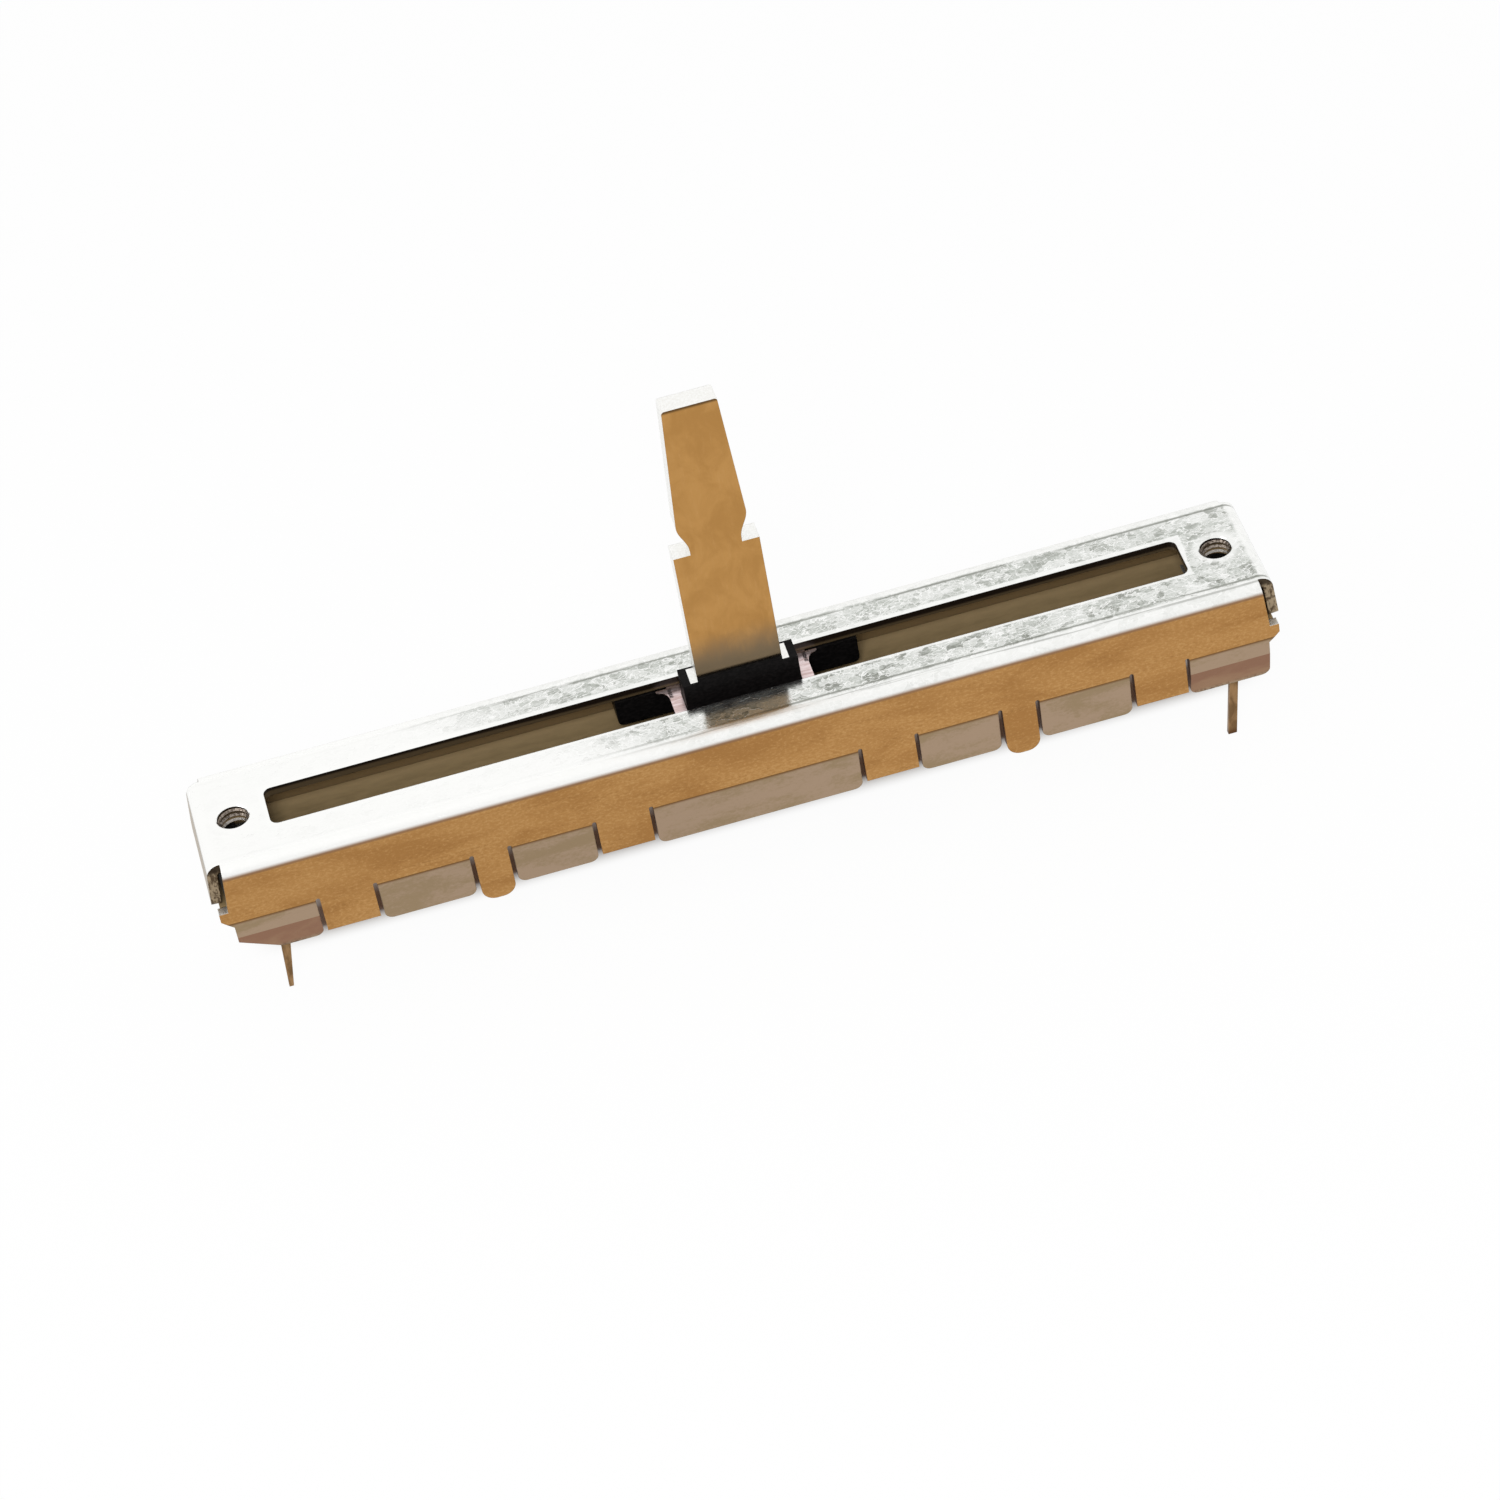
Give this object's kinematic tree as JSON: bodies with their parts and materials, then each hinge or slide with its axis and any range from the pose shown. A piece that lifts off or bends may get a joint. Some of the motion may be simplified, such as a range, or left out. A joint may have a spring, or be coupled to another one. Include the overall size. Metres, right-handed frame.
{
  "type": "channel fader",
  "caption": "Slide potentiometer with a pressed steel cover, a slot and a tall flat lever notched for a knob; tapped screw holes and solder pins at its ends.",
  "frame": {"origin": "centre of the cover's top face, midway between the two tapped mounting holes", "axes": "+X along the travel, +Y to the rear, +Z out of the cover along the lever"},
  "size_m": [0.0868, 0.012, 0.0443],
  "materials": {
    "cover_steel": "bright zinc plating, dulled on the side walls",
    "laminate": "phenolic paper laminate",
    "carbon_film": "printed carbon ink",
    "silver_film": "printed silver ink",
    "tinned_brass": "dull tin plating",
    "black_acetal": "moulded, satin",
    "lever_steel": "bright plated flat stock",
    "spring_steel": "bright spring strip",
    "contact_alloy": "bright noble-metal alloy",
    "black_rubber": "moulded rubber"
  },
  "bodies": {
    "base": {"cover": "cover_steel", "base_board": "laminate", "resistive_track": "carbon_film", "collector_track": "carbon_film", "track_electrode_left": "silver_film", "track_electrode_right": "silver_film", "collector_electrode_left": "silver_film", "collector_electrode_right": "silver_film", "eyelet_track_left": "tinned_brass", "eyelet_track_right": "tinned_brass", "eyelet_collector_left": "tinned_brass", "eyelet_collector_right": "tinned_brass", "terminal_track_left": "tinned_brass", "terminal_track_right": "tinned_brass", "terminal_collector_left": "tinned_brass", "terminal_collector_right": "tinned_brass", "end_buffer_left": "black_rubber", "end_buffer_right": "black_rubber"},
    "slider": {"carriage": "black_acetal", "lever": "lever_steel", "glide_spring": "spring_steel", "contact_plate": "spring_steel", "track_brush": "contact_alloy", "collector_brush": "contact_alloy"}
  },
  "joints": [
    {"name": "lever_slide", "type": "slide", "parent": "base", "child": "slider", "axis": [1, 0, 0], "range_m": [-0.031, 0.029]}
  ]
}
